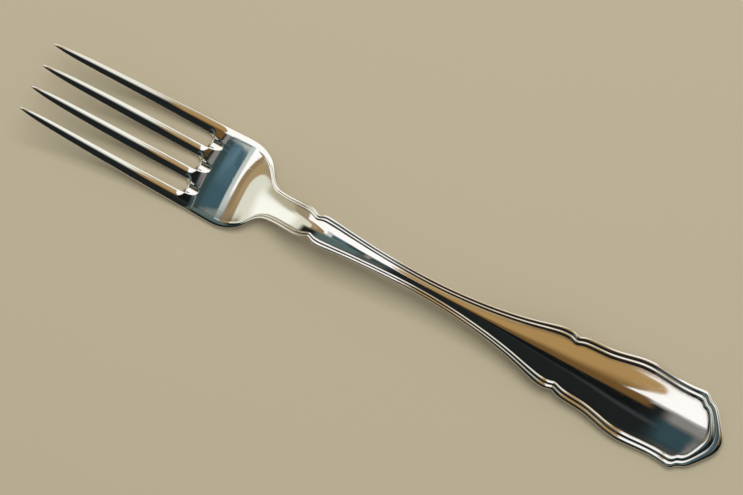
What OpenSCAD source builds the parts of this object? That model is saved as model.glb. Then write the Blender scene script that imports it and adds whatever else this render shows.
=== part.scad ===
// Dinner fork with four tines and a double thread round the neck and handle.
// The real fork is one forging. The nodes are its eight regions, meeting face to face.
// X runs across, +Y points to the tine tips and Z is up from the table, in millimetres.

/* [Length along the fork] */
// From the tine tips to the floor of the slots
tine_len = 45.7; // [41:0.1:50]
// From the slot floors to the start of the neck
head_len = 21; // [19:0.1:24]
// From the start of the neck to the notch in its edge
neck_len = 12.1; // [10.5:0.1:14]
// From the neck's notch to the notch behind the handle's ears
stem_len = 72.2; // [64:0.1:80]
// From the ears' notch to the point of the handle
end_len = 44.9; // [40:0.1:50]

/* [Width] */
// Across the two outer tine tips, centre to centre
tip_span = 18; // [16:0.1:20]
// Widest place of the head
head_w = 23.7; // [22:0.1:26]
// Slot between two tines, at its floor
slot_w = 3.6; // [3.2:0.1:4]
// From one slot's centre line to the next
slot_pitch = 6.45; // [6.1:0.05:6.8]
// Neck below the head
neck_w = 8.4; // [7.6:0.1:9.4]
// Narrowest place of the stem
waist_w = 4.9; // [4.5:0.1:6]
// Ears of the handle, in front of their notch
ear_w = 16.3; // [14.5:0.1:18]
// Widest place of the handle
end_w = 21.9; // [20:0.1:24]
// Double thread at its widest, on the handle's end
border_w = 2.7; // [2.3:0.1:3]

/* [Height and thickness] */
// Table to the back of the tine tips
tip_h = 15; // [11:0.5:18]
// Table to the back of the neck's arch
arch_h = 10.5; // [9:0.5:14]
// Tines near their roots
tine_t = 2.4; // [2:0.1:2.8]
// Plate of the head
head_t = 2.4; // [2:0.05:2.8]
// Neck
neck_t = 3.9; // [3.2:0.1:4.2]
// Stem
stem_t = 4.2; // [3.5:0.1:4.6]
// Handle's end
end_t = 3; // [2.4:0.1:3.4]

/* [Relief] */
// Height of the two beads of the thread
bead_h = 0.25; // [0.16:0.01:0.3]
// Drop of the front face from its middle to the thread
crown_h = 0.7; // [0.4:0.05:0.9]
// Rise of the rounded back from its middle to the edge
back_h = 1.5; // [1:0.1:1.8]
// Drop of the head's rounded rim
rim_h = 0.6; // [0.3:0.05:0.8]
// Length of the scoop in front of each slot floor
scoop_len = 3.2; // [2:0.1:4.5]

/* [Hidden] */
silver = "#d9d4c8";

// Depth of the flats worn into the back where the fork rests
worn_d = 0.06;
// Overrun of every cut
over = 1;
// Width of a slot's scoop
scoop_share = 0.94;
// Ribs laid between two rows of the outline, and points round a tine
ribs_per_row = 2;
tine_sides = 16;
$fn = 48;

// Places along the fork, counted from the tine tips
tine_root = tine_len - slot_w / 2;
neck_start = tine_len + head_len;
neck_notch = neck_start + neck_len;
ear_notch = neck_notch + stem_len;
fork_len = ear_notch + end_len;

// Outline of each zone. A row has its place along the zone, its half width and the
// border beside it. Half widths run from the narrower size, 0, to the wider one, 1.
head_shares = [
    [0, 0.971, 0.65], [0.175, 0.986, 0.65], [0.311, 1, 0.65], [0.443, 1.013, 0.65],
    [0.553, 1.007, 0.65], [0.632, 0.954, 0.65], [0.706, 0.856, 0.65], [0.759, 0.758, 0.66],
    [0.803, 0.641, 0.66], [0.846, 0.464, 0.6], [0.89, 0.248, 0.52], [0.939, 0.092, 0.48]
];
neck_shares = [
    [0, 1.024, 0.48], [0.149, 0.976, 0.5], [0.355, 0.971, 0.51], [0.562, 1, 0.54],
    [0.727, 1.012, 0.56], [0.851, 0.976, 0.61], [0.934, 0.845, 0.56]
];
taper_shares = [
    [0, 0.37, 0.5], [0.011, 0.743, 0.61], [0.028, 0.943, 0.65], [0.058, 0.84, 0.6],
    [0.114, 0.6, 0.56], [0.183, 0.343, 0.52], [0.266, 0.131, 0.51], [0.363, 0.006, 0.52]
];
flare_shares = [
    [0.46, 0.005, 0.53], [0.557, 0.075, 0.55], [0.654, 0.202, 0.57], [0.737, 0.36, 0.61],
    [0.82, 0.579, 0.67], [0.882, 0.798, 0.76], [0.924, 0.956, 0.85], [0.958, 1.018, 0.87],
    [0.983, 0.991, 0.85]
];
end_shares = [
    [0, 0.685, 0.85], [0.027, 0.749, 0.91], [0.067, 0.781, 0.89], [0.134, 0.795, 0.89],
    [0.212, 0.817, 0.91], [0.29, 0.89, 0.94], [0.368, 0.973, 0.98], [0.445, 1.014, 1],
    [0.535, 0.991, 0.96], [0.635, 0.95, 0.91]
];
// Round the point of the handle the ribs fan out. A row has the rib's place on the
// outer edge, along and across, the same on the thread's inner edge, and its foot
// on the centre line, as shares of the end's length and half its width.
fan_shares = [
    [0.724, 0.968, 0.719, 0.721, 0.657], [0.78, 1.005, 0.764, 0.74, 0.702],
    [0.808, 0.991, 0.793, 0.708, 0.739], [0.826, 0.877, 0.808, 0.612, 0.766],
    [0.853, 0.84, 0.831, 0.612, 0.784], [0.882, 0.785, 0.853, 0.511, 0.797],
    [0.918, 0.612, 0.873, 0.365, 0.806], [0.958, 0.402, 0.888, 0.228, 0.813],
    [0.994, 0.2, 0.896, 0.11, 0.817], [1.003, 0, 0.9, 0, 0.82]
];

// Side view of each zone. A row has its place along the zone, then the height of the
// back, the thickness, the crown and the half width that it falls over, the roundness
// of the back and the beads.
tine_side_shares = [
    [-0.175, 1.177, 0.2, 0, 1, 0.13, 0], [0, 0.967, 0.38, 0, 1, 0.13, 0],
    [0.175, 0.741, 0.71, 0, 1, 0.13, 0], [0.35, 0.552, 0.86, 0, 1, 0.13, 0],
    [0.525, 0.383, 0.92, 0, 1, 0.13, 0], [0.7, 0.22, 0.97, 0, 1, 0.13, 0],
    [0.875, 0.092, 1, 0, 1, 0.13, 0], [0.952, 0.045, 1.03, 0, 1, 0.13, 0]
];
head_side_shares = [
    [0.029, 0.018, 1.05, 0.12, 1, 0.16, 0], [0.119, 0, 1.03, 0.24, 1, 0.17, 0],
    [0.195, -0.003, 1, 0.33, 1, 0.18, 0], [0.276, -0.004, 1, 0.36, 1, 0.2, 0],
    [0.443, -0.003, 1, 0.38, 0.95, 0.23, 0], [0.633, 0.05, 1.02, 0.34, 0.78, 0.4, 0],
    [0.824, 0.2, 1.1, 0.3, 0.57, 0.75, 0.1]
];
neck_side_shares = [
    [0, 0.371, 0.77, 0.28, 0.38, 0.95, 0.68], [0.355, 0.6, 0.89, 0.3, 0.265, 1, 0.83],
    [0.769, 0.83, 0.97, 0.32, 0.225, 1, 0.88]
];
stem_side_shares = [
    [0.03, 0.961, 0.95, 0.35, 0.203, 1, 0.9], [0.114, 1, 0.99, 0.38, 0.183, 1, 0.85],
    [0.224, 0.97, 1, 0.4, 0.135, 1, 0.8], [0.363, 0.871, 1, 0.4, 0.097, 1, 0.8],
    [0.5, 0.762, 0.98, 0.42, 0.106, 1, 0.82], [0.64, 0.638, 0.94, 0.55, 0.18, 0.85, 0.86],
    [0.778, 0.501, 0.88, 0.8, 0.304, 0.62, 0.93], [0.917, 0.369, 0.81, 1, 0.5, 0.42, 1]
];
end_side_shares = [
    [0.089, 0.243, 1.05, 1, 0.545, 0.34, 1], [0.312, 0.129, 1.01, 1, 0.684, 0.27, 1],
    [0.535, 0.048, 1, 1, 0.765, 0.27, 1], [0.713, 0.003, 0.99, 0.95, 0.74, 0.25, 1],
    [0.869, -0.007, 0.96, 0.85, 0.7, 0.25, 1], [1.02, 0, 0.88, 0.7, 0.7, 0.25, 1],
    [1.18, 0.03, 0.8, 0.6, 0.7, 0.25, 1]
];

// Tines. A row has its place from tip to root, its lean from the tip's centre line
// to the root's, its width, its thickness and how square its section is.
inner_shares = [
    [-0.008, 0, 0, 0, 2.2], [0.016, 0, 0.22, 0.6, 2.2], [0.057, 0.1, 0.4, 0.9, 2.2],
    [0.137, 0.3, 0.625, 1, 2.3], [0.25, 0.55, 0.775, 1, 2.5], [0.41, 0.85, 0.9, 1, 2.8],
    [0.615, 1, 0.99, 1, 3.2], [0.82, 1, 1.03, 1, 4.5], [1, 1, 1, 1, 7]
];
outer_shares = [
    [-0.008, 0, 0, 0, 2.2], [0.016, 0, 0.18, 0.6, 2.2], [0.057, 0.05, 0.34, 0.9, 2.2],
    [0.137, 0.15, 0.51, 1, 2.3], [0.25, 0.3, 0.62, 1, 2.5], [0.41, 0.5, 0.69, 1, 2.8],
    [0.615, 0.72, 0.8, 1, 3.2], [0.82, 0.92, 0.93, 1, 4.5], [1, 1, 1, 1, 7]
];

// Places of a section's points, from the centre line, 0, over the thread's inner
// edge, 1, to the outer edge, 2, and of the crests and floors of its two beads.
front_mark_shares = [0, 0.35, 0.65, 0.88, 1, 1.12, 1.28, 1.38, 1.45, 1.6, 1.75, 1.89, 2];
back_mark_shares = [0, 0.6, 1.2, 1.6, 1.85, 2];
bead_split_share = 0.45;
bead_crest_shares = [0.62, 0.8];
// Corner between the rounded back and the side wall, and the fall over the border
corner_share = 0.3;
fall_share = 0.4;

function blend(a, b, share) = a + (b - a) * share;

// A smooth line through rows of numbers, as a uniform cubic spline. Its place t is 0
// at the second row and grows by one with each row.
function spline_weights(f) = [
    pow(1 - f, 3), 3 * pow(f, 3) - 6 * pow(f, 2) + 4, 1 + 3 * f + 3 * pow(f, 2) - 3 * pow(f, 3), pow(f, 3)
] / 6;
function spline(rows, t) =
    let (i = max(0, min(floor(t), len(rows) - 4)))
    spline_weights(t - i) * [rows[i], rows[i + 1], rows[i + 2], rows[i + 3]];
// The same rows with one more before the first, so that the line starts on it
function led_in(rows) = concat([2 * rows[0] - rows[1]], rows);
function led_out(rows) = concat(rows, [2 * rows[len(rows) - 1] - rows[len(rows) - 2]]);

// A row of the outline where the rib runs straight across
function straight_row(along, half_w, border) =
    [along, half_w, along, half_w - border, along];
function zone_rows(shares, start, length, narrow, wide) = [
    for (row = shares) straight_row(
        start + row[0] * length, blend(narrow, wide, row[1]) / 2, row[2] * border_w)
];
function fan_row(row) = [
    ear_notch + row[0] * end_len, row[1] * end_w / 2,
    ear_notch + row[2] * end_len, row[3] * end_w / 2, ear_notch + row[4] * end_len
];
function far_side(row) = [row[0], -row[1], row[2], -row[3], row[4]];
fan_rows = [for (row = fan_shares) fan_row(row)];
outline = concat(
    led_in(zone_rows(head_shares, tine_root, neck_start - tine_root, neck_w, head_w)),
    zone_rows(neck_shares, neck_start, neck_len, 0, neck_w),
    zone_rows(taper_shares, neck_notch, stem_len, waist_w, neck_w),
    zone_rows(flare_shares, neck_notch, stem_len, waist_w, ear_w),
    zone_rows(end_shares, ear_notch, end_len, 0, end_w),
    fan_rows, [far_side(fan_rows[len(fan_rows) - 2])]
);
// Rows of the outline at which one region ends and the next begins
neck_row = len(head_shares);
stem_row = neck_row + len(neck_shares);
end_row = stem_row + len(taper_shares) + len(flare_shares);
last_row = len(outline) - 3;

// Side view as lookup lines, one to each number of the rows
function side_rows(shares, start, length, height, thick) = [
    for (row = shares) [
        start + row[0] * length, row[1] * height - worn_d, row[2] * thick,
        row[3] * crown_h, row[4] * end_w / 2, row[5] * back_h, row[6] * bead_h
    ]
];
side = concat(
    side_rows(tine_side_shares, 0, tine_len, tip_h, tine_t),
    side_rows(head_side_shares, tine_len, head_len, arch_h, head_t),
    side_rows(neck_side_shares, neck_start, neck_len, arch_h, neck_t),
    side_rows(stem_side_shares, neck_notch, stem_len, arch_h, stem_t),
    side_rows(end_side_shares, ear_notch, end_len, arch_h, end_t)
);
side_steps = 8;
side_line = [for (n = [0 : (len(side) - 3) * side_steps]) spline(side, n / side_steps)];
function column(n) = [for (row = side_line) [row[0], row[n]]];
back_line = column(1);
thick_line = column(2);
crown_line = column(3);
crown_half_line = column(4);
round_line = column(5);
bead_line = column(6);

function y_at(along) = fork_len / 2 - along;
function mid_z(along) = lookup(along, back_line) + lookup(along, thick_line) / 2;

// Height of a bead at its place across the thread, which is a share of the border. Each
// bead rises slowly to its crest and falls off quickly behind it.
function lobe(share, crest) = 1 - pow((share - crest) / (share < crest ? crest : 1 - crest), 2);
function beads(share) = share < bead_split_share
    ? lobe(share / bead_split_share, bead_crest_shares[0])
    : lobe((share - bead_split_share) / (1 - bead_split_share), bead_crest_shares[1]);
// Rounded edge of the head, which the beads replace on the neck and handle
function rim(along, share) =
    rim_h * (1 - sqrt(1 - pow(share, 2))) * max(1 - 2 * lookup(along, bead_line) / bead_h, 0);
function front_z(along, mark, on_panel) =
    let (on_border = max(mark - 1, 0))
    lookup(along, back_line) + lookup(along, thick_line)
        - lookup(along, crown_line) * pow(on_panel / lookup(along, crown_half_line), 2)
        + lookup(along, bead_line) * (beads(on_border) - fall_share * pow(on_border, 2))
        - rim(along, on_border);
function back_z(along, mark) =
    lookup(along, back_line) + lookup(along, round_line)
        * (pow(mark / 2, 2) * (1 - corner_share) + pow(mark / 2, 12) * corner_share);

// Place of a mark on a rib, seen from above, as [along, across]
function on_rib(rib, mark) = mark <= 1
    ? blend([rib[4], 0], [rib[2], rib[3]], mark)
    : blend([rib[2], rib[3]], [rib[0], rib[1]], mark - 1);
function rib_point(rib, mark, hand, front) =
    let (place = on_rib(rib, mark), on_panel = rib[3] * min(mark, 1))
    [
        hand * place[1], y_at(place[0]),
        front ? front_z(place[0], mark, on_panel) : back_z(place[0], mark)
    ];
// One section of the fork, round from the right edge over the front to the left
// edge and along the back
front_count = 2 * len(front_mark_shares) - 1;
back_count = 2 * len(back_mark_shares) - 1;
section_count = front_count + back_count;
function section(t) =
    let (rib = spline(outline, t), fronts = len(front_mark_shares), backs = len(back_mark_shares))
    concat(
        [for (n = [fronts - 1 : -1 : 0]) rib_point(rib, front_mark_shares[n], 1, true)],
        [for (n = [1 : fronts - 1]) rib_point(rib, front_mark_shares[n], -1, true)],
        [for (n = [backs - 1 : -1 : 0]) rib_point(rib, back_mark_shares[n], -1, false)],
        [for (n = [1 : backs - 1]) rib_point(rib, back_mark_shares[n], 1, false)]
    );
// On the centre line of the handle's point both halves of a section share its points
function shared(n) = n < front_count
    ? min(n, front_count - 1 - n)
    : section_count - 1 - min(n - front_count, section_count - 1 - n);

// Skin between sections of count points each: two triangles to each facet
function skin(sections, count) = [
    for (i = [0 : sections - 2], n = [0 : count - 1], upper = [0, 1])
        let (m = (n + 1) % count, here = i * count, next = here + count)
        upper == 0 ? [here + n, here + m, next + n] : [here + m, next + m, next + n]
];
function reversed(list) = [for (n = [len(list) - 1 : -1 : 0]) list[n]];

// The point on a section's back below its front point n, and the flat end of a region
// in triangles that each join its front and its back
function below(n) = section_count - 1 - round(n * (back_count - 1) / (front_count - 1));
function region_end(first) = [
    for (n = [0 : front_count - 2], on_back = [0, 1])
        if (on_back == 0) [first + n, first + n + 1, first + below(n)]
        else if (below(n + 1) < below(n)) [first + n + 1, first + below(n + 1), first + below(n)]
];

// A region of the head, neck and handle, from one row of the outline to another
module region(from, to) {
    steps = (to - from) * ribs_per_row;
    pointed = to == last_row;
    last = steps * section_count;
    points = [for (i = [0 : steps]) each section(from + i / ribs_per_row)];
    walls = skin(steps + 1, section_count);
    function closed(n) = pointed && n >= last ? last + shared(n - last) : n;
    faces = concat(
        [for (face = walls) [for (n = face) closed(n)]],
        [for (face = region_end(0)) reversed(face)],
        pointed ? [] : region_end(last)
    );
    polyhedron(points, faces, convexity = 6);
}

// A tine's row repeated on the far side of its tip, so that the tip comes out round
function beyond_tip(row) = [row[0], row[1], -row[2], -row[3], row[4]];
// One tine of the right half, from its rows and the edges of its root
function tine_ring(row, tip_x, inner_x, outer_x) =
    let (
        along = row[0] * tine_root,
        centre = blend(tip_x, (inner_x + outer_x) / 2, row[1]),
        half_w = row[2] * (outer_x - inner_x) / 2,
        half_t = row[3] * lookup(along, thick_line) / 2,
        power = 2 / row[4]
    )
    [
        for (n = [0 : tine_sides - 1])
            let (angle = (n + 0.5) * 360 / tine_sides, across = cos(angle), up = sin(angle))
            [
                centre + half_w * sign(across) * pow(abs(across), power),
                y_at(along),
                mid_z(along) + half_t * sign(up) * pow(abs(up), power)
            ]
    ];
module tine(shares, tip_x, inner_x, outer_x) {
    rows = led_out(concat([beyond_tip(shares[1])], shares));
    rings = (len(rows) - 3) * ribs_per_row;
    points = concat(
        [[tip_x, y_at(0), mid_z(0)]],
        [
            for (i = [1 : rings])
                each tine_ring(spline(rows, i / ribs_per_row), tip_x, inner_x, outer_x)
        ]
    );
    walls = skin(rings, tine_sides);
    faces = concat(
        [for (n = [0 : tine_sides - 1]) [0, 1 + (n + 1) % tine_sides, 1 + n]],
        [for (face = walls) [for (n = face) n + 1]],
        [[for (n = [0 : tine_sides - 1]) 1 + (rings - 1) * tine_sides + n]]
    );
    polyhedron(points, faces, convexity = 4);
}
root_outer_x = blend(neck_w, head_w, head_shares[0][1]) / 2;
module inner_tine() {
    tine(inner_shares, tip_span / 6, slot_w / 2, slot_pitch - slot_w / 2);
}
module outer_tine() {
    tine(outer_shares, tip_span / 2, slot_pitch + slot_w / 2, root_outer_x);
}

// What the table has worn off the back, below the level that the fork rests on
module worn_away(from, to) {
    translate([-end_w, y_at(to), -arch_h]) cube([2 * end_w, to - from, arch_h]);
}

// Round floor of a slot, and the scoop that lets it run out on the front of the head
module slot_end() {
    depth = lookup(tine_len, thick_line) / 2;
    slope = atan(depth / scoop_len);
    scoop_w = scoop_share * slot_w;
    translate([0, y_at(tine_root), -over]) cylinder(h = over + tip_h, d = slot_w);
    translate([0, y_at(tine_len), mid_z(tine_len)]) rotate([90 - slope, 0, 0]) hull()
        for (lift = [scoop_w / 2, scoop_w / 2 + tine_t])
            translate([0, lift, -slot_w]) cylinder(h = 2 * slot_w + scoop_len, d = scoop_w);
}

module tine_outer_left() { color(silver) mirror([1, 0, 0]) outer_tine(); }
module tine_inner_left() { color(silver) mirror([1, 0, 0]) inner_tine(); }
module tine_inner_right() { color(silver) inner_tine(); }
module tine_outer_right() { color(silver) outer_tine(); }

module head() {
    color(silver) difference() {
        region(0, neck_row);
        worn_away(tine_root - over, neck_start);
        for (x = [-slot_pitch, 0, slot_pitch]) translate([x, 0, 0]) slot_end();
    }
}
module neck() { color(silver) region(neck_row, stem_row); }
module stem() { color(silver) region(stem_row, end_row); }
module handle_end() {
    color(silver) difference() {
        region(end_row, last_row);
        worn_away(ear_notch, fork_len + over);
    }
}

tine_outer_left();
tine_inner_left();
tine_inner_right();
tine_outer_right();
head();
neck();
stem();
handle_end();
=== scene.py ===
import math

import bmesh
import bpy
import numpy as np
from mathutils import Matrix, Vector


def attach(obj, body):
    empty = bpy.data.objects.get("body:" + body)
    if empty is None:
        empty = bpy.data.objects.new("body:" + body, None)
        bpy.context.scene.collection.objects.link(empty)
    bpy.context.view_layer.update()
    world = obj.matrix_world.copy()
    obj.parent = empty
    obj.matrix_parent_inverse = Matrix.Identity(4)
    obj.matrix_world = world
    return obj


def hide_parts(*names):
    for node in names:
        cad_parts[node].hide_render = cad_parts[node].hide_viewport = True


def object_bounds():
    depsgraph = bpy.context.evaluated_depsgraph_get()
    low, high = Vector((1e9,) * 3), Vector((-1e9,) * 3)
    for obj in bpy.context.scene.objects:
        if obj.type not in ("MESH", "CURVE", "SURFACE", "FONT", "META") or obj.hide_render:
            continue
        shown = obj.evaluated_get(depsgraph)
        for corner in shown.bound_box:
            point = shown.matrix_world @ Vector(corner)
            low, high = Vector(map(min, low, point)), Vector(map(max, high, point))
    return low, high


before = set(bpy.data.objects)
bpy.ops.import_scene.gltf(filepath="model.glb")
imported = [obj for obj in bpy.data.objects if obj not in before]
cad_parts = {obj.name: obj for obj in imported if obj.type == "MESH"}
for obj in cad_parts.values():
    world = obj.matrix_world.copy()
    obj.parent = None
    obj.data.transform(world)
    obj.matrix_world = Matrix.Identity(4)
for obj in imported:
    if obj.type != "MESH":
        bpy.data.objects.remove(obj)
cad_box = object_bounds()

# Camera
# It hangs straight over the fork, as in the photograph, with the fork lying across the
# picture from the upper left to the lower right.
CAMERA_HEIGHT = 1.0
CAMERA_OVER = (0.002233, 0.003858)
CAMERA_LENS, SENSOR_WIDTH = 190.85, 36
CAMERA_TURN = math.radians(61.464)
NEAREST_SEEN = 0.05

camera = bpy.data.objects.new("camera", bpy.data.cameras.new("camera"))
camera.data.sensor_width = SENSOR_WIDTH
camera.data.lens = CAMERA_LENS
camera.data.clip_start = NEAREST_SEEN
turn = Matrix.Rotation(-CAMERA_TURN, 4, "Z")
camera.matrix_world = Matrix.Translation((*CAMERA_OVER, CAMERA_HEIGHT)) @ turn
bpy.context.scene.collection.objects.link(camera)
bpy.context.scene.camera = camera
bpy.context.scene.view_settings.view_transform = "Standard"

# Floor
# A plain pale matt sheet, which the fork lies on. The gap keeps the fork's flats clear of
# it by less than a hair.
FLOOR_COLOUR = (0.49, 0.43, 0.30, 1)
FLOOR_ROUGHNESS, FLOOR_SHINE = 0.9, 0.1
FLOOR_SIZE = 1.6
FLOOR_GAP = 0.00003


def shader(name):
    """A new material, with its node tree and the surface node that stands in it."""
    made = bpy.data.materials.new(name)
    made.use_nodes = True
    return made, made.node_tree, made.node_tree.nodes["Principled BSDF"]


sheet = bmesh.new()
bmesh.ops.create_grid(sheet, x_segments=1, y_segments=1, size=FLOOR_SIZE / 2)
bmesh.ops.translate(sheet, verts=sheet.verts, vec=(0, 0, -FLOOR_GAP))
floor_mesh = bpy.data.meshes.new("floor")
sheet.to_mesh(floor_mesh)
sheet.free()
floor = bpy.data.objects.new("floor", floor_mesh)
bpy.context.scene.collection.objects.link(floor)
floor_finish, _, floor_surface = shader("pale_sheet")
floor_surface.inputs["Base Color"].default_value = FLOOR_COLOUR
floor_surface.inputs["Roughness"].default_value = FLOOR_ROUGHNESS
floor_surface.inputs["Specular IOR Level"].default_value = FLOOR_SHINE
floor.data.materials.append(floor_finish)

# Light
# One broad soft lamp, high on the fork's right, throws the soft shadow. The metal doesn't
# mirror the lamp itself.
LAMP_PLACE = Vector((0.29, 0.08, 0.95))
LAMP_SIZE = 0.45
LAMP_POWER = 6.4

lamp = bpy.data.objects.new("lamp", bpy.data.lights.new("lamp", "AREA"))
lamp.data.size = LAMP_SIZE
lamp.data.energy = LAMP_POWER
lamp.location = LAMP_PLACE
lamp.rotation_mode = "QUATERNION"
lamp.rotation_quaternion = (-LAMP_PLACE).to_track_quat("-Z", "Y")
lamp.visible_glossy = False
bpy.context.scene.collection.objects.link(lamp)

# Room
# What the polished metal mirrors: a dark wall on its left, a bright one on its right with a
# golden stretch towards the handle, a blue patch overhead and pale walls past the tines.
# Places in it are degrees from straight up, across and along the fork.
DARK = (0.013, 0.016, 0.016, 1)
BLACK = (0.006, 0.008, 0.008, 1)
STREAK = (0.036, 0.041, 0.043, 1)
BRIGHT = (1.05, 1.05, 1.05, 1)
CREAM = (0.973, 0.98, 0.899, 1)
SLATE = (0.095, 0.142, 0.139, 1)
TEAL = (0.034, 0.069, 0.084, 1)
SIDE_DIM = (0.082, 0.095, 0.084, 1)
SMOKE = (0.195, 0.22, 0.21, 1)
MARGIN = (0.444, 0.463, 0.445, 1)
MAUVE = (0.24, 0.232, 0.221, 1)
LIGHT_MAUVE = (0.491, 0.487, 0.487, 1)
BROWN = (0.155, 0.085, 0.027, 1)
GOLD = (0.421, 0.265, 0.101, 1)
SIDE_GOLD = (0.43, 0.325, 0.18, 1)
DARK_BLUE = (0.037, 0.067, 0.072, 1)
BLUE = (0.049, 0.104, 0.13, 1)
LIGHT_BLUE = (0.1, 0.187, 0.241, 1)
STRIP = (0.541, 0.59, 0.571, 1)
TAN = (0.295, 0.205, 0.108, 1)
LIGHT_TAN = (0.399, 0.296, 0.157, 1)
PALE = (0.738, 0.735, 0.627, 1)
FAR_WHITE = (1.009, 1.035, 0.962, 1)
FAR_TAN = (0.328, 0.278, 0.184, 1)
FAR_BEIGE = (0.467, 0.428, 0.307, 1)
SIDE_GREY = (0.174, 0.191, 0.17, 1)
BACKGROUND = (0.80, 0.76, 0.68, 1)
FILL = (0.42, 0.42, 0.42, 1)
FINGER_START, FINGER_BEND = 14, -0.045
ARCH_TOP_BEND, ARCH_FOOT_BEND = 0.22, 0.42
BLOTCH_SCALE, BLOTCH_DETAIL, BLOTCH_EDGE, BLOTCH_SIDE = 11.0, 3.0, (0.3, 0.6), (-2.5, 2.5)
LEAST_AWAY = 1e-4

world = bpy.data.worlds.new("room")
bpy.context.scene.world = world
world.use_nodes = True
room = world.node_tree
room.nodes.clear()


def node(tree, kind, settings=None, **inputs):
    """A node of that kind, with its settings and with its inputs set or linked.

    An input is named, or it is numbered as i0, i1 and so on.
    """
    made = tree.nodes.new(kind)
    for name, value in (settings or {}).items():
        setattr(made, name, value)
    for name, value in inputs.items():
        numbered = name[0] == "i" and name[1:].isdigit()
        socket = made.inputs[int(name[1:]) if numbered else name]
        if isinstance(value, bpy.types.NodeSocket):
            tree.links.new(value, socket)
        else:
            socket.default_value = value
    return made


def sum_of(tree, operation, a, b=0.0):
    """The result of one sum of that kind."""
    return node(tree, "ShaderNodeMath", {"operation": operation}, i0=a, i1=b).outputs[0]


def ramp(tree, value, start, end, low=0.0, high=1.0):
    """From low to high, smoothly, as value goes from start to end."""
    made = node(tree, "ShaderNodeMapRange", {"interpolation_type": "SMOOTHSTEP"}, Value=value)
    settings = {"From Min": start, "From Max": end, "To Min": low, "To Max": high}
    for name, number in settings.items():
        made.inputs[name].default_value = number
    return made.outputs["Result"]


def painted(tree, below, colour, mask):
    """The colour laid over what is below it, as far as the mask lets it."""
    made = node(tree, "ShaderNodeMix", {"data_type": "RGBA"}, Factor=mask, i6=below, i7=colour)
    return made.outputs[2]


direction = node(room, "ShaderNodeTexCoord").outputs["Generated"]
parts = node(room, "ShaderNodeSeparateXYZ", i0=direction)
flat = node(room, "ShaderNodeCombineXYZ", X=parts.outputs["X"], Y=parts.outputs["Y"])
level = node(room, "ShaderNodeVectorMath", {"operation": "LENGTH"}, i0=flat.outputs[0])
away = level.outputs["Value"]
tilt = sum_of(room, "ARCTAN2", away, parts.outputs["Z"])
tilt = sum_of(room, "MULTIPLY", tilt, math.degrees(1))
spread = sum_of(room, "DIVIDE", tilt, sum_of(room, "MAXIMUM", away, LEAST_AWAY))
across = sum_of(room, "MULTIPLY", parts.outputs["X"], spread)
along = sum_of(room, "MULTIPLY", parts.outputs["Y"], spread)


def curved(start, bend):
    """The place along, less a share of the square of how far across it lies past a start."""
    past = sum_of(room, "SUBTRACT", across, start)
    if bend > 0:
        past = sum_of(room, "MAXIMUM", past, 0.0)
    square = sum_of(room, "MULTIPLY", past, past)
    return sum_of(room, "SUBTRACT", along, sum_of(room, "MULTIPLY", square, bend))


finger = curved(FINGER_START, FINGER_BEND)
arch_top, arch_foot = curved(0.0, ARCH_TOP_BEND), curved(0.0, ARCH_FOOT_BEND)


def card(seen, colour, left=None, right=None, near=None, far=None, run=along):
    """The room with a card in it. Each side is a pair of places between which it fades."""
    mask = 1.0
    sides = ((across, left, 0.0), (across, right, 1.0), (run, near, 0.0), (run, far, 1.0))
    for value, side, low in sides:
        if side:
            mask = sum_of(room, "MULTIPLY", mask, ramp(room, value, *side, low, 1.0 - low))
    return painted(room, seen, colour, mask)


noise = node(room, "ShaderNodeTexNoise", Vector=direction, Scale=BLOTCH_SCALE,
             Detail=BLOTCH_DETAIL)
seen = card(DARK, BLACK, (-9, -5), (-1, 1), far=(-15, -12))
seen = card(seen, STREAK, (-9.5, -7.5), (-6.8, -5), (-24, -17), (-12.5, -11))
seen = card(seen, BRIGHT, left=(3, 7), near=(-17, -16))
seen = card(seen, CREAM, left=(4, 56), far=(-17, -16))
seen = card(seen, SLATE, (-36, -24), (-9, -4), (-9, -4), (22, 32))
seen = card(seen, TEAL, (-20, -12), (-3.5, 0), (-13.2, -11), (-8.7, -8.2))
seen = card(seen, SIDE_DIM, (-60, -50), (-19, -14), (-13, -11), (-7, -4))
seen = card(seen, MAUVE, (-20, -16), (3, 5), (-8.7, -8.2), (-7.6, -6))
seen = card(seen, SMOKE, (-10, -5), (3, 5), (-3, 3), (17, 20))
seen = card(seen, MAUVE, (-4, 0.5), (4.4, 6), (-12.6, -10.6), (-7.5, -5))
seen = card(seen, BROWN, (-0.5, 1.5), (30, 40), (-26, -22), (-13.8, -12.8))
seen = card(seen, SIDE_GOLD, (24, 34), (62, 74), (-25, -19), (-14, -12.8))
seen = card(seen, GOLD, (4, 13), (24, 32), (-26, -22), (-12.6, -12))
seen = card(seen, LIGHT_MAUVE, (3.5, 6), (7, 8), (-13, -11.5), (-8, -6))
seen = card(seen, BRIGHT, (5, 6.2), (17.5, 20.5), (-12.6, -12.2), run=finger)
seen = card(seen, MARGIN, (3, 5), (6, 9), (-5, -1), (13, 17))
seen = card(seen, DARK_BLUE, (-5.5, -4.5), (4.2, 5.4), (-7.5, -5), (10.5, 12.5))
blotches = ramp(room, noise.outputs[0], *BLOTCH_EDGE)
blue = card(seen, BLUE, (-5.5, -4.5), (4.2, 5.4), (-2, 3), (10.5, 12.5))
light_blue = card(blue, LIGHT_BLUE, (-5.5, -4.5), (4.7, 5.7), (0, 3), (10.5, 12.5))
lit = sum_of(room, "MULTIPLY", blotches, ramp(room, across, *BLOTCH_SIDE))
seen = painted(room, blue, light_blue, lit)
seen = card(seen, STRIP, (-8, -3), (8, 10), (10.5, 13), (60, 70))
seen = card(seen, BRIGHT, (-3.5, -0.5), near=(15.5, 17.5), far=(60, 70))
seen = card(seen, TAN, (-12, -4), (7, 8.7), (18.7, 21), (60, 70), arch_top)
seen = card(seen, LIGHT_TAN, (-8, 0), (7, 8.7), (25, 30), (60, 70), arch_top)
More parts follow.
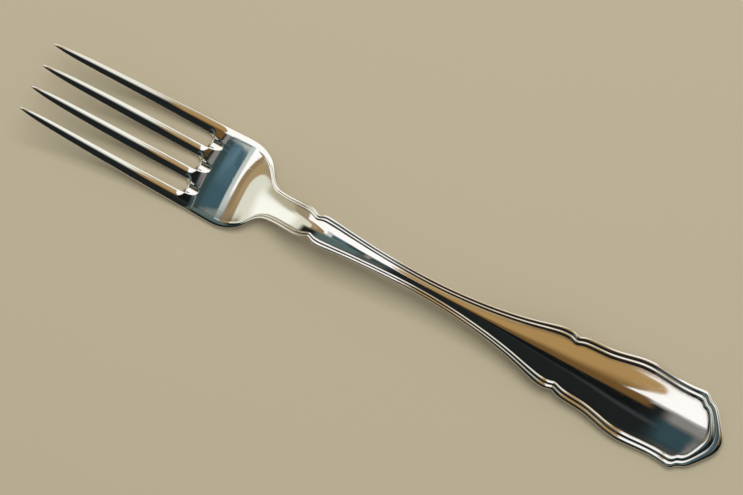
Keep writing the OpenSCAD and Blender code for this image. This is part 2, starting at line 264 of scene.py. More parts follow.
seen = card(seen, PALE, (-9, -5), near=(35.5, 38), run=arch_foot)
seen = card(seen, PALE, left=(-60, -40), near=(43, 50), run=arch_foot)
seen = card(seen, FAR_WHITE, (-60, -40), (-1, 5), (50, 60))
seen = card(seen, FAR_TAN, (5, 7.5), near=(42, 45))
seen = card(seen, FAR_BEIGE, (1, 5), near=(56, 62))
seen = card(seen, SIDE_GREY, (-62, -52), (-36, -28), (25, 29), (38, 43))
light_path = node(room, "ShaderNodeLightPath").outputs
seen = painted(room, FILL, seen, light_path["Is Glossy Ray"])
seen = painted(room, seen, BACKGROUND, light_path["Is Camera Ray"])
glow = node(room, "ShaderNodeBackground", Color=seen)
node(room, "ShaderNodeOutputWorld", Surface=glow.outputs[0])

# Silver
# The fork is silver plate, polished to a mirror. Use has left fine scratches and a faint
# haze, and some tarnish stays in the grooves of the thread, where a polishing cloth doesn't
# reach. Here all lengths are in metres.
SILVER =(0.93, 0.915, 0.88, 1)
WARM_SILVER = (0.915, 0.885, 0.83, 1)
TARNISH = (0.36, 0.31, 0.25, 1)
MIRROR_ROUGHNESS, HAZE_ROUGHNESS, SCRATCH_ROUGHNESS, TARNISH_ROUGHNESS = 0.016, 0.03, 0.10, 0.12
RIPPLE_SIZE, RIPPLE_DEPTH = 0.011, 0.000012
LINE_SPACING, LINE_LENGTH, LINE_DEPTH = 0.0007, 0.03, 0.0000016
SCRATCH_WIDTH, SCRATCH_DEPTH = 0.012, 0.0000012
HAZE_SIZE, HAZE_START, HAZE_END, HAZE_DETAIL = 0.019, 0.42, 0.72, 5.0
TARNISH_SIZE, TARNISH_EDGE, TARNISH_LEAST = 0.003, (0.3, 0.7), 0.45
PATCH_SHIFT, PATCH_EDGE, SCRATCH_BEND = (7.3, 3.1, 0), (0.5, 0.62), 0.4
TIP_ZONE, TIP_WEAR = (0.078, 0.096), 1.6


def group(name, **inputs):
    """An empty node group that puts out one value, with its input sockets and its result."""
    made = bpy.data.node_groups.new(name, "ShaderNodeTree")
    for socket, value in inputs.items():
        kind = "NodeSocketVector" if value is None else "NodeSocketFloat"
        given = made.interface.new_socket(socket, in_out="INPUT", socket_type=kind)
        if value is not None:
            given.default_value = value
    made.interface.new_socket("Amount", in_out="OUTPUT", socket_type="NodeSocketFloat")
    given = made.nodes.new("NodeGroupInput").outputs
    return made, given, made.nodes.new("NodeGroupOutput").inputs[0]


def stretched(tree, place, across, along):
    """The place in steps of one length across the fork and another along it."""
    steps = [sum_of(tree, "DIVIDE", 1.0, length) for length in (across, along)]
    scale = node(tree, "ShaderNodeCombineXYZ", X=steps[0], Y=steps[1], Z=steps[0]).outputs[0]
    made = node(tree, "ShaderNodeVectorMath", {"operation": "MULTIPLY"}, i0=place, i1=scale)
    return made.outputs[0]


def clouds(tree, place, detail=2.0, bent=0.0):
    """Soft patches from 0 to 1, about one step of the place across."""
    made = node(tree, "ShaderNodeTexNoise", Vector=place, Scale=1.0, Detail=detail,
                Distortion=bent)
    return made.outputs[0]


haze, given, result = group("handling_haze", Vector=None, Size=0.02, Start=0.45, End=0.7)
even = stretched(haze, given["Vector"], given["Size"], given["Size"])
cloud = clouds(haze, even, HAZE_DETAIL)
shade = node(haze, "ShaderNodeMapRange", {"interpolation_type": "SMOOTHSTEP"}, Value=cloud)
haze.links.new(given["Start"], shade.inputs["From Min"])
haze.links.new(given["End"], shade.inputs["From Max"])
haze.links.new(shade.outputs[0], result)

polish, given, result = group("polish_lines", Vector=None, Spacing=0.001, Length=0.03)
fine = stretched(polish, given["Vector"], given["Spacing"], given["Length"])
polish.links.new(clouds(polish, fine, detail=3.0), result)

scratch, given, result = group(
    "fine_scratches", Vector=None, Turn=0.0, Spacing=0.002, Length=0.02, Width=0.01)
turned = node(scratch, "ShaderNodeVectorRotate", {"rotation_type": "Z_AXIS"},
              Vector=given["Vector"], Angle=given["Turn"]).outputs[0]
laid = stretched(scratch, turned, given["Spacing"], given["Length"])
off_line = sum_of(scratch, "SUBTRACT", clouds(scratch, laid, 1.0, SCRATCH_BEND), 0.5)
line = node(scratch, "ShaderNodeMapRange", Value=sum_of(scratch, "ABSOLUTE", off_line))
line.inputs["To Min"].default_value, line.inputs["To Max"].default_value = 1, 0
scratch.links.new(given["Width"], line.inputs["From Max"])
shifted = node(scratch, "ShaderNodeVectorMath", {"operation": "ADD"}, i0=laid, i1=PATCH_SHIFT)
patches = ramp(scratch, clouds(scratch, shifted.outputs[0]), *PATCH_EDGE)
scratch.links.new(sum_of(scratch, "MULTIPLY", line.outputs[0], patches), result)

tarnish, given, result = group("groove_tarnish", Vector=None, Groove=0.0, Size=0.003)
even = stretched(tarnish, given["Vector"], given["Size"], given["Size"])
uneven = ramp(tarnish, clouds(tarnish, even, detail=3.0), *TARNISH_EDGE, TARNISH_LEAST, 1.0)
tarnish.links.new(sum_of(tarnish, "MULTIPLY", given["Groove"], uneven), result)


def placed(tree, made, **values):
    """What a shared effect puts out, with its inputs set or linked."""
    return node(tree, "ShaderNodeGroup", {"node_tree": made}, **values).outputs[0]


def silver_finish(name, scratch_share, scratch_turns, haze_share):
    """The silver of one part of the fork, with its own amounts of scratches and haze.

    Each lot of scratches has its turn in degrees, its spacing and its length.
    """
    made, tree, surface = shader(name)
    spot = node(tree, "ShaderNodeTexCoord").outputs["Object"]
    groove = node(tree, "ShaderNodeAttribute", {"attribute_name": "groove"}).outputs["Fac"]
    hazy = placed(tree, haze, Vector=spot, Size=HAZE_SIZE, Start=HAZE_START, End=HAZE_END)
    hazy = sum_of(tree, "MULTIPLY", hazy, haze_share)
    dull = placed(tree, tarnish, Vector=spot, Groove=groove, Size=TARNISH_SIZE)
    to_tips = node(tree, "ShaderNodeSeparateXYZ", i0=spot).outputs["Y"]
    worn = ramp(tree, to_tips, *TIP_ZONE, 1.0, TIP_WEAR)
    worn = sum_of(tree, "MULTIPLY", worn, scratch_share)
    marks = 0.0
    for angle, spacing, length in scratch_turns:
        one = placed(tree, scratch, Vector=spot, Turn=math.radians(angle), Spacing=spacing,
                     Length=length, Width=SCRATCH_WIDTH)
        marks = sum_of(tree, "MAXIMUM", marks, one)
    marks = sum_of(tree, "MULTIPLY", marks, worn)
    colour = painted(tree, painted(tree, SILVER, WARM_SILVER, hazy), TARNISH, dull)
    tree.links.new(colour, surface.inputs["Base Color"])
    rough = MIRROR_ROUGHNESS
    worst = ((hazy, HAZE_ROUGHNESS), (marks, SCRATCH_ROUGHNESS), (dull, TARNISH_ROUGHNESS))
    for amount, most in worst:
        rough = sum_of(tree, "ADD", rough, sum_of(tree, "MULTIPLY", amount, most))
    tree.links.new(rough, surface.inputs["Roughness"])
    surface.inputs["Metallic"].default_value = 1
    ripple = placed(tree, polish, Vector=spot, Spacing=RIPPLE_SIZE, Length=2 * RIPPLE_SIZE)
    lines = placed(tree, polish, Vector=spot, Spacing=LINE_SPACING, Length=LINE_LENGTH)
    relief = 0.0
    for amount, depth in ((ripple, RIPPLE_DEPTH), (lines, LINE_DEPTH), (marks, -SCRATCH_DEPTH)):
        relief = sum_of(tree, "ADD", relief, sum_of(tree, "MULTIPLY", amount, depth / RIPPLE_DEPTH))
    bump = node(tree, "ShaderNodeBump", Height=relief, Strength=1.0, Distance=RIPPLE_DEPTH)
    tree.links.new(bump.outputs[0], surface.inputs["Normal"])
    return made


# Blank
# The whole fork is one piece of metal, cut from a sheet, rolled, pierced between the tines
# and pressed between dies. Lengths are in millimetres, and places along the fork are
# counted from the tine tips.
MM = 0.001
low, high = cad_box
FORK_LENGTH = (high.y - low.y) / MM
TINE_LENGTH, HEAD_LENGTH, NECK_LENGTH, STEM_LENGTH, END_LENGTH = 45.7, 21, 12.1, 72.2, 44.9
HEAD_WIDTH, SLOT_WIDTH, SLOT_PITCH = 23.7, 3.6, 6.45
NECK_WIDTH, WAIST_WIDTH, EAR_WIDTH, END_WIDTH, BORDER_WIDTH = 8.4, 4.9, 16.3, 21.9, 2.7
TINE_ROOT = TINE_LENGTH - SLOT_WIDTH / 2
NECK_START = TINE_LENGTH + HEAD_LENGTH
NECK_NOTCH = NECK_START + NECK_LENGTH
EAR_NOTCH = NECK_NOTCH + STEM_LENGTH

# Outline of the blank
# Its edge follows a spline through these rows. A row gives the place along its stretch of
# the fork, the width from the narrow to the wide end of that stretch, and the breadth of
# the border inside the edge, all as shares.
HEAD_ROWS = [
    [0, 0.971, 0.65], [0.175, 0.986, 0.65], [0.311, 1, 0.65], [0.443, 1.013, 0.65],
    [0.553, 1.007, 0.65], [0.632, 0.954, 0.65], [0.706, 0.856, 0.65], [0.759, 0.758, 0.66],
    [0.803, 0.641, 0.66], [0.846, 0.464, 0.6], [0.89, 0.248, 0.52], [0.939, 0.092, 0.48],
]
NECK_ROWS = [
    [0, 1.024, 0.48], [0.149, 0.976, 0.5], [0.355, 0.971, 0.51], [0.562, 1, 0.54],
    [0.727, 1.012, 0.56], [0.851, 0.976, 0.61], [0.934, 0.845, 0.56],
]
TAPER_ROWS = [
    [0, 0.37, 0.5], [0.011, 0.743, 0.61], [0.028, 0.943, 0.65], [0.058, 0.84, 0.6],
    [0.114, 0.6, 0.56], [0.183, 0.343, 0.52], [0.266, 0.131, 0.51], [0.363, 0.006, 0.52],
]
FLARE_ROWS = [
    [0.46, 0.005, 0.53], [0.557, 0.075, 0.55], [0.654, 0.202, 0.57], [0.737, 0.36, 0.61],
    [0.82, 0.579, 0.67], [0.882, 0.798, 0.76], [0.924, 0.956, 0.85], [0.958, 1.018, 0.87],
    [0.983, 0.991, 0.85],
]
END_ROWS = [
    [0, 0.685, 0.85], [0.027, 0.749, 0.91], [0.067, 0.781, 0.89], [0.134, 0.795, 0.89],
    [0.212, 0.817, 0.91], [0.29, 0.89, 0.94], [0.368, 0.973, 0.98], [0.445, 1.014, 1],
    [0.535, 0.991, 0.96], [0.635, 0.95, 0.91],
]
# Round the handle's point the rows fan out, so a row gives the edge's place and half width,
# the panel's place and half width, and the place on the middle line.
FAN_ROWS = [
    [0.724, 0.968, 0.719, 0.721, 0.657], [0.78, 1.005, 0.764, 0.74, 0.702],
    [0.808, 0.991, 0.793, 0.708, 0.739], [0.826, 0.877, 0.808, 0.612, 0.766],
    [0.853, 0.84, 0.831, 0.612, 0.784], [0.882, 0.785, 0.853, 0.511, 0.797],
    [0.918, 0.612, 0.873, 0.365, 0.806], [0.958, 0.402, 0.888, 0.228, 0.813],
    [0.994, 0.2, 0.896, 0.11, 0.817], [1.003, 0, 0.9, 0, 0.82],
]


def blend(a, b, share):
    """From a to b, as the share goes from 0 to 1."""
    return a + (b - a) * share


def spline(rows, place):
    """Points of a uniform cubic spline; its place is 0 at the second row."""
    place = np.atleast_1d(np.asarray(place, float))
    first = np.clip(np.floor(place).astype(int), 0, len(rows) - 4)
    f = (place - first)[:, None]
    weights = [(1 - f) ** 3, 3 * f**3 - 6 * f**2 + 4, 1 + 3 * f + 3 * f**2 - 3 * f**3, f**3]
    return sum(w * rows[first + n] for n, w in enumerate(weights)) / 6


def outline_rows(shares, start, length, narrow, wide):
    """Rows with the places and half widths of the edge and the panel, in millimetres."""
    rows = []
    for place, width, border in shares:
        at, half = start + place * length, blend(narrow, wide, width) / 2
        rows.append([at, half, at, half - border * BORDER_WIDTH, at])
    return rows


head_rows = outline_rows(HEAD_ROWS, TINE_ROOT, NECK_START - TINE_ROOT, NECK_WIDTH, HEAD_WIDTH)
fan_rows = [
    [EAR_NOTCH + edge * END_LENGTH, half * END_WIDTH / 2, EAR_NOTCH + inner * END_LENGTH,
     panel * END_WIDTH / 2, EAR_NOTCH + spine * END_LENGTH]
    for edge, half, inner, panel, spine in FAN_ROWS
]
# The spline also needs a row before the first, and one beyond the point that mirrors the
# last but one.
lead = [2 * a - b for a, b in zip(head_rows[0], head_rows[1])]
beyond = [value * sign for value, sign in zip(fan_rows[-2], (1, -1, 1, -1, 1))]
OUTLINE = np.array(
    [lead] + head_rows
    + outline_rows(NECK_ROWS, NECK_START, NECK_LENGTH, 0, NECK_WIDTH)
    + outline_rows(TAPER_ROWS, NECK_NOTCH, STEM_LENGTH, WAIST_WIDTH, NECK_WIDTH)
    + outline_rows(FLARE_ROWS, NECK_NOTCH, STEM_LENGTH, WAIST_WIDTH, EAR_WIDTH)
    + outline_rows(END_ROWS, EAR_NOTCH, END_LENGTH, 0, END_WIDTH)
    + fan_rows + [beyond]
)
NECK_AT = len(HEAD_ROWS)
STEM_AT = NECK_AT + len(NECK_ROWS)
END_AT = STEM_AT + len(TAPER_ROWS) + len(FLARE_ROWS)
POINT_AT = len(OUTLINE) - 3
HEAD_SAMPLES = 2000
head_places = np.linspace(0, NECK_AT + 2, HEAD_SAMPLES)
head_along = spline(OUTLINE, head_places)[:, 0]


def half_and_panel(at):
    """Half the width of the head, and of the panel inside its border, at those places."""
    rows = spline(OUTLINE, np.interp(at, head_along, head_places))
    return rows[:, 1], rows[:, 3]


# Side profile of the blank
# The metal is rolled thin at the tines and left thick at the neck and stem. A row gives the
# place along its stretch, the back's height, the thickness, the front's crown and half its
# width, the back's roundness and how far the thread stands up, all as shares.
TIP_HEIGHT, ARCH_HEIGHT = 15, 10.5
TINE_THICK, HEAD_THICK, NECK_THICK, STEM_THICK, END_THICK = 2.4, 2.4, 3.9, 4.2, 3
CROWN_HEIGHT, BACK_HEIGHT, WORN_DEPTH = 0.7, 1.5, 0.06
SIDE_SAMPLES = 4000

TINE_SIDE = [
    [-0.175, 1.177, 0.2, 0, 1, 0.13, 0], [0, 0.967, 0.38, 0, 1, 0.13, 0],
    [0.175, 0.741, 0.71, 0, 1, 0.13, 0], [0.35, 0.552, 0.86, 0, 1, 0.13, 0],
    [0.525, 0.383, 0.92, 0, 1, 0.13, 0], [0.7, 0.22, 0.97, 0, 1, 0.13, 0],
    [0.875, 0.092, 1, 0, 1, 0.13, 0], [0.952, 0.045, 1.03, 0, 1, 0.13, 0],
]
HEAD_SIDE = [
    [0.029, 0.018, 1.05, 0.12, 1, 0.16, 0], [0.119, 0, 1.03, 0.24, 1, 0.17, 0],
    [0.195, -0.003, 1, 0.33, 1, 0.18, 0], [0.276, -0.004, 1, 0.36, 1, 0.2, 0],
    [0.443, -0.003, 1, 0.38, 0.95, 0.23, 0], [0.633, 0.05, 1.02, 0.34, 0.78, 0.4, 0],
    [0.824, 0.2, 1.1, 0.3, 0.57, 0.75, 0.1],
]
NECK_SIDE = [
    [0, 0.371, 0.77, 0.28, 0.38, 0.95, 0.68], [0.355, 0.6, 0.89, 0.3, 0.265, 1, 0.83],
    [0.769, 0.83, 0.97, 0.32, 0.225, 1, 0.88],
]
STEM_SIDE = [
    [0.03, 0.961, 0.95, 0.35, 0.203, 1, 0.9], [0.114, 1, 0.99, 0.38, 0.183, 1, 0.85],
    [0.224, 0.97, 1, 0.4, 0.135, 1, 0.8], [0.363, 0.871, 1, 0.4, 0.097, 1, 0.8],
    [0.5, 0.762, 0.98, 0.42, 0.106, 1, 0.82], [0.64, 0.638, 0.94, 0.55, 0.18, 0.85, 0.86],
    [0.778, 0.501, 0.88, 0.8, 0.304, 0.62, 0.93], [0.917, 0.369, 0.81, 1, 0.5, 0.42, 1],
]
END_SIDE = [
    [0.089, 0.243, 1.05, 1, 0.545, 0.34, 1], [0.312, 0.129, 1.01, 1, 0.684, 0.27, 1],
    [0.535, 0.048, 1, 1, 0.765, 0.27, 1], [0.713, 0.003, 0.99, 0.95, 0.74, 0.25, 1],
    [0.869, -0.007, 0.96, 0.85, 0.7, 0.25, 1], [1.02, 0, 0.88, 0.7, 0.7, 0.25, 1],
    [1.18, 0.03, 0.8, 0.6, 0.7, 0.25, 1],
]


def side_rows(shares, start, length, height, thick):
    """Rows with the heights and half widths of one stretch, in millimetres."""
    return [
        [start + row[0] * length, row[1] * height - WORN_DEPTH, row[2] * thick,
         row[3] * CROWN_HEIGHT, row[4] * END_WIDTH / 2, row[5] * BACK_HEIGHT, row[6]]
        for row in shares
    ]


SIDE = np.array(
    side_rows(TINE_SIDE, 0, TINE_LENGTH, TIP_HEIGHT, TINE_THICK)
    + side_rows(HEAD_SIDE, TINE_LENGTH, HEAD_LENGTH, ARCH_HEIGHT, HEAD_THICK)
    + side_rows(NECK_SIDE, NECK_START, NECK_LENGTH, ARCH_HEIGHT, NECK_THICK)
    + side_rows(STEM_SIDE, NECK_NOTCH, STEM_LENGTH, ARCH_HEIGHT, STEM_THICK)
    + side_rows(END_SIDE, EAR_NOTCH, END_LENGTH, ARCH_HEIGHT, END_THICK)
)
side_places = np.linspace(0, len(SIDE) - 3, SIDE_SAMPLES)
side_along = spline(SIDE, side_places)[:, 0]


def side_at(at):
    """Back, thickness, crown and half its width, back's roundness and beads at those places."""
    at = np.asarray(at, float)
    rows = spline(SIDE, np.interp(at.ravel(), side_along, side_places))
    return [rows[:, n].reshape(at.shape) for n in range(1, 7)]


# Double thread
# Two parallel beads that the dies press along both edges of the handle, from the neck to
# the point. They are of the same metal, and the outer one is the lower.
BEAD_HEIGHT, FALL_SHARE = 0.25, 0.4
BEAD_SPLIT, BEAD_CRESTS, OUTER_BEAD_SHARE = 0.47, (0.56, 0.6), 0.72


def lobe(share, crest):
    """A bead's height: it rises slowly to its crest and falls off quickly behind it."""
    return 1 - ((share - crest) / np.where(share < crest, crest, 1 - crest)) ** 2


def beads(share):
    """The thread's height at a share of the way over it, from the panel to the edge."""
    inner = lobe(share / BEAD_SPLIT, BEAD_CRESTS[0])
    outer = OUTER_BEAD_SHARE * lobe((share - BEAD_SPLIT) / (1 - BEAD_SPLIT), BEAD_CRESTS[1])
    return np.where(share < BEAD_SPLIT, inner, outer)


# Slots and edges
# Three slots are pierced between the tines, with round floors. Their edges and the blank's
# own are rounded and polished, and a scoop runs out of each floor on the head's front.
SCOOP_LENGTH, SCOOP_WIDTH, SCOOP_EDGE, SCOOP_WALL, SCOOP_START = 3.2, 3.5, 0.07, 3, 0.6
SLOT_ROUND, BACK_ROUND, SLOT_BACK, FLOOR_ROUND = (SLOT_PITCH - SLOT_WIDTH) / 2, 1.2, 0.6, 0.35
SLOT_REACH, FLANK_SLOPE = 12, 0.9
EDGE_ROUND, BACK_EDGE_ROUND, BACK_EDGE_DROP, RIM_HEIGHT = 0.15, 0.9, 0.45, 0.6
CORNER_SHARE, CORNER_POWER = 0.3, 12


def smooth_step(value, start, end):
    """From 0 to 1, smoothly, as value goes from start to end."""
    share = np.clip((value - start) / (end - start), 0, 1)
    return share * share * (3 - 2 * share)


def round_over(distance, across_radius, up_radius):
    """Drop of a rounded edge at a distance from it."""
    share = np.clip(1 - distance / across_radius, 0, 1)
    return up_radius * (1 - np.sqrt(1 - share**2))


def slot_gap(at, x):
    """Distance to the nearest slot's edge, and how far round its floor the point lies."""
    best, turn = np.full(at.shape, math.inf), np.zeros(at.shape)
    for centre in (0, SLOT_PITCH):
        past, aside = np.maximum(at - TINE_ROOT, 0), np.abs(x - centre)
        gap = np.hypot(past, aside) - SLOT_WIDTH / 2
        nearer = gap < best
        best = np.where(nearer, gap, best)
        turn = np.where(nearer, np.arctan2(past, aside), turn)
    return np.maximum(best, 0), np.sin(turn) ** 2


def arch(distance, reach):
    """Drop at a distance from an edge that the face falls to in a flat arch."""
    return FLANK_SLOPE * reach / 2 * np.clip(1 - distance / reach, 0, 1) ** 2


def scoop(at, x):
    """Depth of the troughs that run out on the head's front past the floors of the slots."""
    depth = np.zeros(at.shape)
    r = SCOOP_WIDTH / 2
    for centre in (0, SLOT_PITCH):
        aside = np.abs(x - centre)
        wall = r - np.sqrt(np.maximum(r**2 - aside**2, 0)) + SCOOP_WALL * np.maximum(aside - r, 0)
        below = HEAD_THICK / 2 * (1 - (at - TINE_LENGTH) / SCOOP_LENGTH) - wall
        depth = np.maximum(depth, (below + np.hypot(below, SCOOP_EDGE)) / 2)
    return depth * smooth_step(at, TINE_ROOT, TINE_ROOT + SCOOP_START)


def back_curve(mark):
    """How far the back has risen, as a share, from the middle line at 0 to the edge at 2."""
    return (mark / 2) ** 2 * (1 - CORNER_SHARE) + (mark / 2) ** CORNER_POWER * CORNER_SHARE


def heights(at, x, mark, panel, border):
    """Front and back heights of points of the head and handle.

    A mark is 0 on the middle line, 1 where the panel ends and 2 on the edge.
    """
    back, thick, crown, crown_half, rounded, bead = side_at(at)
    on_panel, on_border = panel * np.minimum(mark, 1), np.clip(mark - 1, 0, 1)
    thread = BEAD_HEIGHT * bead * (beads(on_border) - FALL_SHARE * on_border**2)
    front = back + thick - crown * (on_panel / crown_half) ** 2 + thread
    front = front - RIM_HEIGHT * (1 - np.sqrt(1 - on_border**2)) * np.clip(1 - 2 * bead, 0, 1)
    edge = (2 - mark) * border
    front = front - round_over(edge, EDGE_ROUND, EDGE_ROUND) * np.clip(bead, 0, 1)
    under = back + rounded * back_curve(mark)
    under = under + round_over(edge, BACK_EDGE_ROUND, BACK_EDGE_DROP)
    gap, round_share = slot_gap(at, x)
    near = at < TINE_ROOT + SLOT_REACH
    reach = blend(SLOT_ROUND, FLOOR_ROUND, round_share)
    front = front - np.where(near, arch(gap, reach) + scoop(at, x), 0)
    under = under + np.where(near, round_over(gap, BACK_ROUND, SLOT_BACK * thick / 2), 0)
    return front, np.maximum(under, 0)


# Head and handle of the blank
# Rings that run once round the metal, from the slots' floors to the handle's point. On the
# head their points follow the tines and slots, and on the handle the panel and the two
# beads, with the same number of steps from the middle to the edge.
SLOT_STEPS, TINE_STEPS, PANEL_STEPS, INNER_BEAD_STEPS = 20, 14, 22, 16
HALF_STEPS = SLOT_STEPS // 2 + TINE_STEPS + SLOT_STEPS + TINE_STEPS
OUTER_BEAD_STEPS = HALF_STEPS - PANEL_STEPS - INNER_BEAD_STEPS
PANEL_CROWDING = 0.8
FLOOR_FADE, SHOULDER_FADE = (0, 8), (2, 19)

crowded = math.pi / 2 * PANEL_CROWDING
MARKS = np.concatenate([
    np.sin(np.linspace(0, 1, PANEL_STEPS + 1) * math.pi / 2 * PANEL_CROWDING) / math.sin(crowded),
    1 + np.linspace(0, BEAD_SPLIT, INNER_BEAD_STEPS + 1)[1:],
    1 + np.linspace(BEAD_SPLIT, 1, OUTER_BEAD_STEPS + 1)[1:],
])
tine_spread = -np.cos(np.linspace(0, math.pi, TINE_STEPS + 1))
slot_angle = np.linspace(math.pi, 0, SLOT_STEPS + 1)


def head_plan(depth):
    """Place along and across of the ring's points in a row that lies depth past the roots.

    They cross half the middle slot's end, the inner tine's, the outer slot's and the outer
    tine's. Further down they go over to the marks of the panel and the border.
    """
    flat = smooth_step(depth, *FLOOR_FADE)
    (half,), (panel,) = half_and_panel(TINE_ROOT + depth)
    r = SLOT_WIDTH / 2
    a = np.zeros(HALF_STEPS + 1)
    x = np.zeros(HALF_STEPS + 1)
    quarter = SLOT_STEPS // 2
    arc = slot_angle[quarter:]
    even = np.linspace(0, r, quarter + 1)
    a[:quarter + 1] = r * np.sin(arc) * (1 - flat)
    x[:quarter + 1] = blend(r * np.cos(arc), even, flat)
    k = quarter
    x[k:k + TINE_STEPS + 1] = blend(r, SLOT_PITCH - r, (tine_spread + 1) / 2)
    k += TINE_STEPS
    a[k:k + SLOT_STEPS + 1] = r * np.sin(slot_angle) * (1 - flat)
    even = np.linspace(-r, r, SLOT_STEPS + 1)
    x[k:k + SLOT_STEPS + 1] = SLOT_PITCH + blend(r * np.cos(slot_angle), even, flat)
    k += SLOT_STEPS
    x[k:] = blend(SLOT_PITCH + r, half, (tine_spread + 1) / 2)
    marked = np.where(MARKS <= 1, MARKS * panel, blend(panel, half, MARKS - 1))
    turned = smooth_step(depth, *SHOULDER_FADE)
    return TINE_ROOT + depth + a, blend(x, marked, turned)


ROOT_DEPTH, ROOT_ROWS, SLOT_DEPTH, SLOT_ROWS, PLATE_ROWS = 1.2, 10, 6, 25, 60
LAST_GAP = 0.15
depths = np.concatenate([
    ROOT_DEPTH * np.linspace(0, 1, ROOT_ROWS) ** 2,
    np.linspace(ROOT_DEPTH, SLOT_DEPTH, SLOT_ROWS)[1:],
    np.linspace(SLOT_DEPTH, NECK_START - TINE_ROOT, PLATE_ROWS)[1:],
])
neck_along = spline(OUTLINE, NECK_AT)[0][0]
depths = depths[depths < neck_along - TINE_ROOT - LAST_GAP]
rows = []
for depth in depths:
    at, x = head_plan(depth)
    half, panel = half_and_panel(at)
    mark = np.where(x <= panel, x / panel, 1 + (x - panel) / (half - panel))
    rows.append((at, x, *heights(at, x, mark, panel, half - panel)))

RIB_SPACING, RIB_TRIES = 0.32, 60


def rib_places(start, end):
    """Places of the ribs between two rows of the outline, evenly spaced along the edge."""
    fine = np.linspace(start, end, (end - start) * RIB_TRIES + 1)
    ribs = spline(OUTLINE, fine)
    steps = np.hypot(np.diff(ribs[:, [0, 2]], axis=0), np.diff(ribs[:, [1, 3]], axis=0)).max(axis=1)
    run = np.concatenate([[0], np.cumsum(steps)])
    return np.interp(np.linspace(0, run[-1], math.ceil(run[-1] / RIB_SPACING) + 1), run, fine)


neck_ribs, stem_ribs, end_ribs = (
    rib_places(*zone) for zone in ((NECK_AT, STEM_AT), (STEM_AT, END_AT), (END_AT, POINT_AT))
)
on_panel, on_border = np.minimum(MARKS, 1), np.clip(MARKS - 1, 0, 1)
ribs = spline(OUTLINE, np.concatenate([neck_ribs, stem_ribs[1:], end_ribs[1:]]))
for edge, half, inner, panel, spine in ribs:
    at = blend(blend(spine, inner, on_panel), edge, on_border)
    x = blend(panel * on_panel, half, on_border)
    border = math.hypot(edge - inner, half - panel)
    rows.append((at, x, *heights(at, x, MARKS, panel, border)))
rows_at, rows_x, rows_front, rows_back = map(np.array, zip(*rows))
neck_row = len(depths)
stem_row = neck_row + len(neck_ribs) - 1
end_row = stem_row + len(stem_ribs) - 1


def place(x, at, z):
    """A point in metres in the frame, from millimetres across, along and up."""
    return Vector((x * MM, (FORK_LENGTH / 2 - at) * MM, z * MM))


def row_point(row, k, over):
    """The point of a row that lies k steps to the right of the middle, over or under it."""
    z = (rows_front if over else rows_back)[row][abs(k)]
    return place(math.copysign(rows_x[row][abs(k)], k), rows_at[row][abs(k)], z)


blank = bmesh.new()
region = blank.faces.layers.int.new("region")
groove = blank.verts.layers.float.new("groove")


def tube(ring_count, rings, points, region_of, groove_of=None):
    """A grid of rings by ring_count points, rolled so that each ring closes on itself."""
    grid = bmesh.ops.create_grid(blank, x_segments=ring_count, y_segments=rings - 1, size=0.5)
    cells = {}
    for v in grid["verts"]:
        n, row = round((v.co.x + 0.5) * ring_count), round((v.co.y + 0.5) * (rings - 1))
        cells[v] = (n % ring_count, row)
    for face in {f for v in cells for f in v.link_faces}:
        face[region] = region_of(min(cells[v][1] for v in face.verts))
        face.smooth = True
    for v, (n, row) in cells.items():
        v.co = points(n, row)
        v[groove] = groove_of(n, row) if groove_of else 0


WIDE, GROOVE_WIDTH = 2 * HALF_STEPS, 0.07
TINES, HEAD, NECK, STEM, END = 1, 5, 6, 7, 8


def handle_point(n, row):
    """Point n of a ring: over the front from the left edge, then back underneath."""
    over = n <= WIDE
    return row_point(row, n - HALF_STEPS if over else WIDE + 1 + HALF_STEPS - n, over)


def handle_groove(n, row):
    """How deep in the thread's two grooves a point of a ring lies, from 0 to 1."""
    if n > WIDE or row < neck_row:
        return 0
    on_border = MARKS[abs(n - HALF_STEPS)] - 1
    return max(math.exp(-((on_border - bottom) / GROOVE_WIDTH) ** 2) for bottom in (0, BEAD_SPLIT))


def handle_region(row):
    """The number of the piece that a row belongs to."""
    for number, first in ((END, end_row), (STEM, stem_row), (NECK, neck_row)):
        if row >= first:
            return number
    return HEAD


tube(2 * WIDE + 2, len(rows), handle_point, handle_region, handle_groove)


def slot_floor(first, last):
    """The wall at the end of a slot, between the front and the back of the head's first row."""
    made = bmesh.ops.create_grid(blank, x_segments=last - first, y_segments=1, size=0.5)["verts"]
    for face in {f for v in made for f in v.link_faces}:
        face[region] = HEAD
        face.smooth = True
    for v in made:
        v.co = row_point(0, first + round((v.co.x + 0.5) * (last - first)), v.co.y > 0)


half_slot = SLOT_STEPS // 2
outer_slot = half_slot + TINE_STEPS
slot_floor(-half_slot, half_slot)
slot_floor(outer_slot, outer_slot + SLOT_STEPS)
slot_floor(-outer_slot - SLOT_STEPS, -outer_slot)

# Tines
# Four prongs with parabolic points, left standing between the slots and swept up towards
# their tips. They are of the head's metal, with flanks polished to flat arches, and the
# outer two run out into the head's shoulders.
TIP_SPAN, TIP_ROUND = 18, 0.93
ROOT_START, RIM_REACH, TINY = 0.45, 1.05, 1e-9
RINGS_PER_ROW = 7

